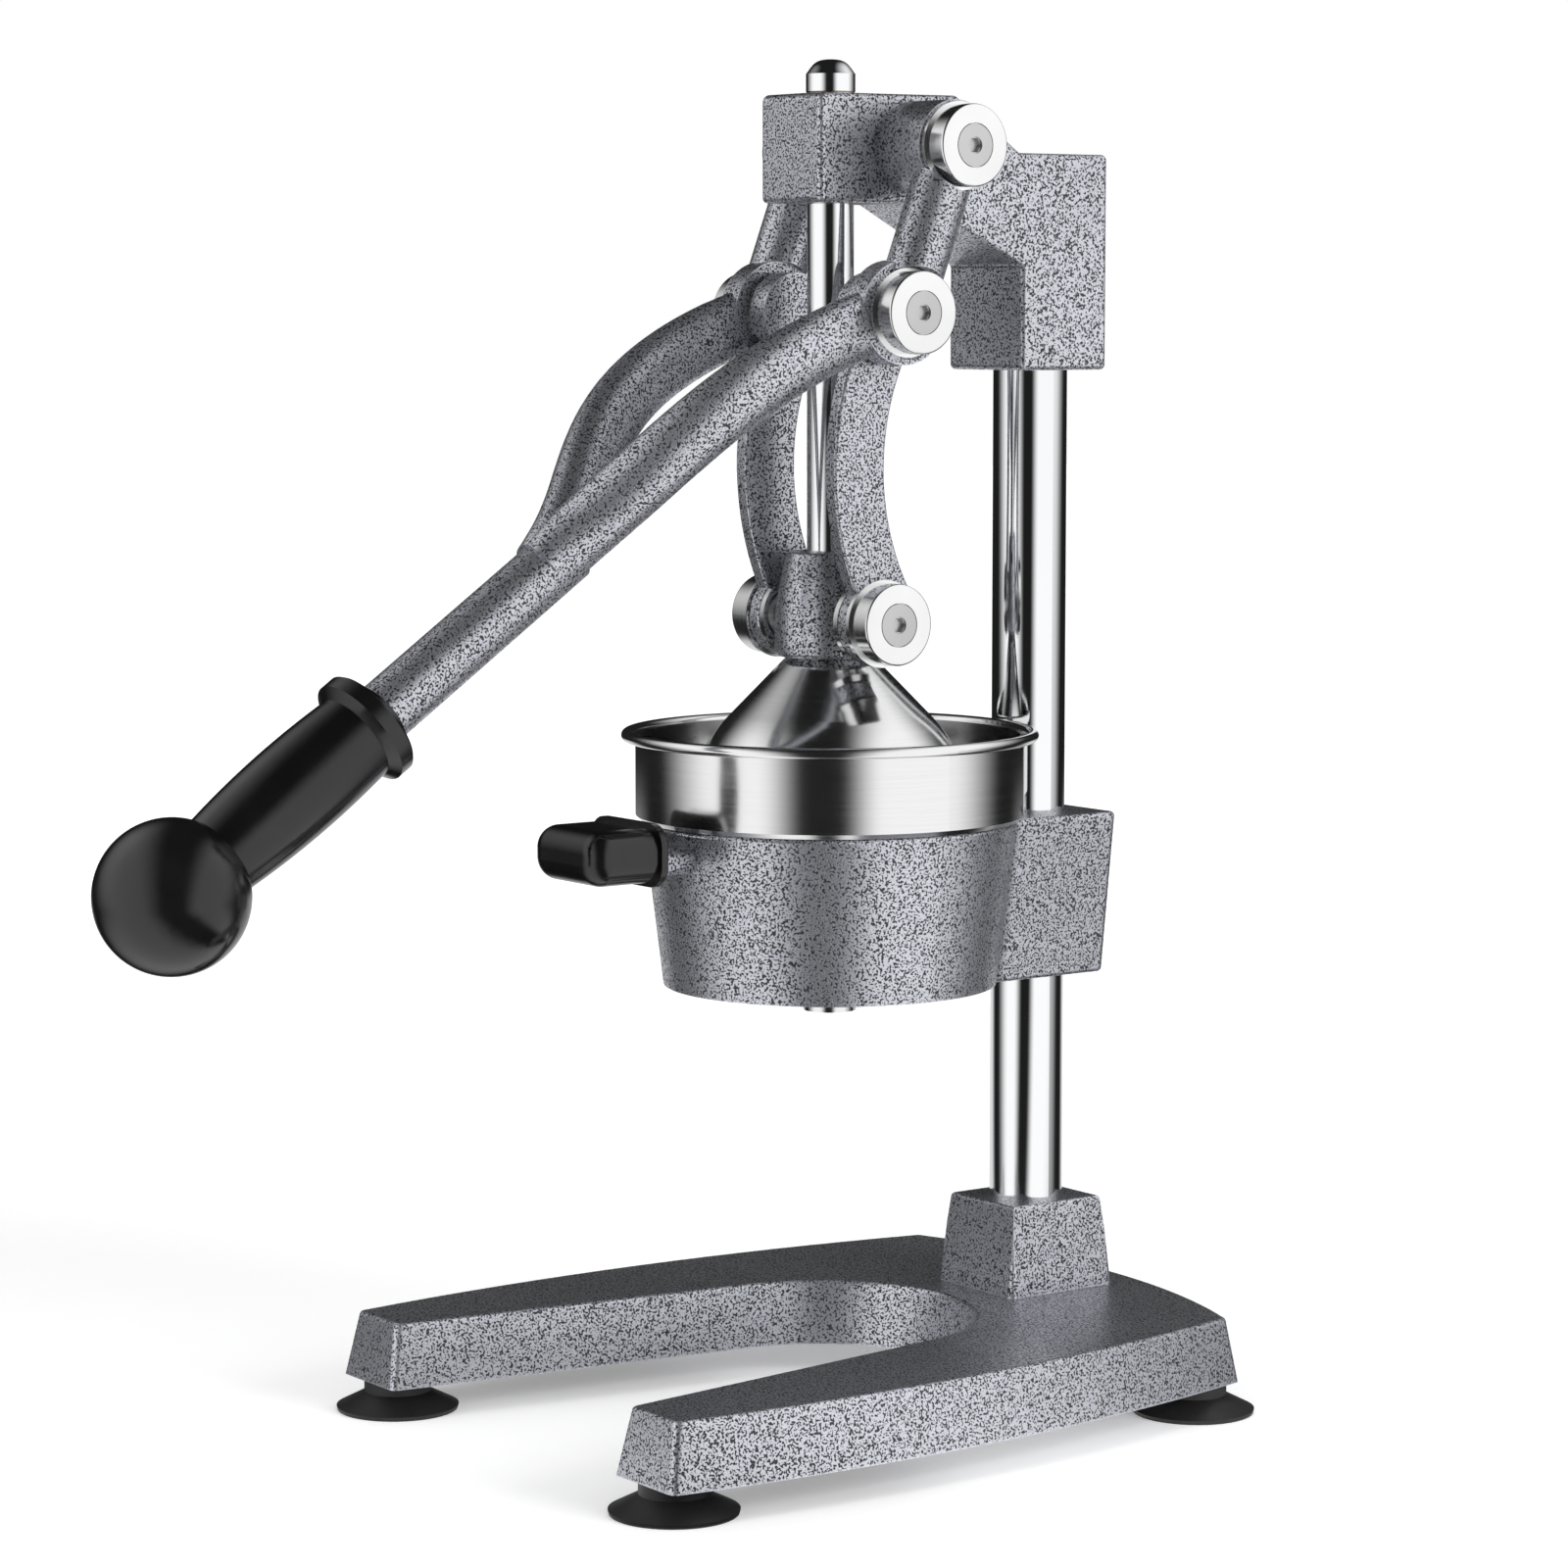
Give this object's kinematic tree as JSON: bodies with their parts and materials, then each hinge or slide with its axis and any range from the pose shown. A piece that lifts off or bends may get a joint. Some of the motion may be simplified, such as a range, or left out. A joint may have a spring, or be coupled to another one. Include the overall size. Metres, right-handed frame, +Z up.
{
  "type": "lever citrus juice press",
  "caption": "Bench-top lever press for citrus: a forked lever and two links push a cone down over a ribbed reamer in a strainer cup, above an open bay for a glass.",
  "frame": {"origin": "on the counter, straight below the axis of the press rod and the spout, where the glass stands", "axes": "+Z up along the press rod, -Y towards the user, where the lever's handle and the open side of the base are, +Y towards the column, +X to the right seen from the user"},
  "size_m": [0.1842, 0.3452, 0.3937],
  "materials": {
    "hammered_paint": "grey hammered metallic enamel on cast metal",
    "chrome": "polished chrome plate",
    "polished_steel": "polished turned steel with fine turning lines",
    "turned_steel": "turned steel, bare",
    "cap_screw_steel": "satin steel disc heads",
    "set_screw_steel": "black oxide steel",
    "bearing_bronze": "plain bearing bronze",
    "stainless": "polished stainless steel with spun lines",
    "black_grip": "glossy black moulded plastic",
    "foot_rubber": "black rubber"
  },
  "bodies": {
    "stand": {"base_casting": "hammered_paint", "foot_studs": "turned_steel", "column": "chrome", "column_washer": "turned_steel", "column_bolt": "turned_steel", "head_casting": "hammered_paint", "head_set_screws": "set_screw_steel", "rod_bush_upper": "bearing_bronze", "rod_bush_lower": "bearing_bronze", "pivot_shaft": "turned_steel", "pivot_cap_screws": "cap_screw_steel", "bowl_holder": "hammered_paint", "clamp_set_screws": "set_screw_steel", "holder_grip": "black_grip", "juice_funnel": "stainless", "strainer_cup": "stainless", "reamer_cone": "stainless", "suction_foot_front_left": "foot_rubber", "suction_foot_front_right": "foot_rubber", "suction_foot_rear_left": "foot_rubber", "suction_foot_rear_right": "foot_rubber", "pivot_spacer_left": "hammered_paint", "pivot_spacer_right": "hammered_paint", "pivot_cap_left": "polished_steel", "pivot_cap_right": "polished_steel"},
    "lever": {"lever_fork": "hammered_paint", "handle_grip": "black_grip", "knee_cap_screws": "cap_screw_steel", "lever_bush_left": "bearing_bronze", "lever_bush_right": "bearing_bronze", "knee_pin_left": "turned_steel", "knee_pin_right": "turned_steel", "knee_ring_left": "polished_steel", "knee_ring_right": "polished_steel", "knee_cap_left": "polished_steel", "knee_cap_right": "polished_steel"},
    "links": {"ankle_cap_screws": "cap_screw_steel", "link_left": "hammered_paint", "link_right": "hammered_paint", "link_bush_left": "bearing_bronze", "link_bush_right": "bearing_bronze", "ankle_pin_left": "turned_steel", "ankle_pin_right": "turned_steel", "ankle_cap_left": "polished_steel", "ankle_cap_right": "polished_steel"},
    "press": {"press_rod": "chrome", "rod_end_cap": "chrome", "press_hub": "hammered_paint", "hub_set_screw": "set_screw_steel", "hub_cross_pin": "turned_steel", "press_cone": "stainless", "cone_nut": "turned_steel", "trunnion_collar_left": "turned_steel", "trunnion_collar_right": "turned_steel", "ankle_ring_left": "polished_steel", "ankle_ring_right": "polished_steel"}
  },
  "joints": [
    {"name": "lever_hinge", "type": "hinge", "parent": "stand", "child": "lever", "pos_m": [0, 0.0185, 0.3685], "axis": [-1, 0, 0], "range_deg": [0, 80]},
    {"name": "knee_hinge", "type": "hinge", "parent": "lever", "child": "links", "pos_m": [0, 0.0005, 0.3215], "axis": [-1, 0, 0], "range_deg": [-100.82, 0]},
    {"name": "press_slide", "type": "slide", "parent": "stand", "child": "press", "axis": [0, 0, 1], "range_m": [0, 0.06224]}
  ],
  "couplings": [
    {"joint": "knee_hinge", "follows": "lever_hinge", "ratio": -1.2596},
    {"joint": "press_slide", "follows": "lever_hinge", "m_per_rad": 0.044503}
  ]
}
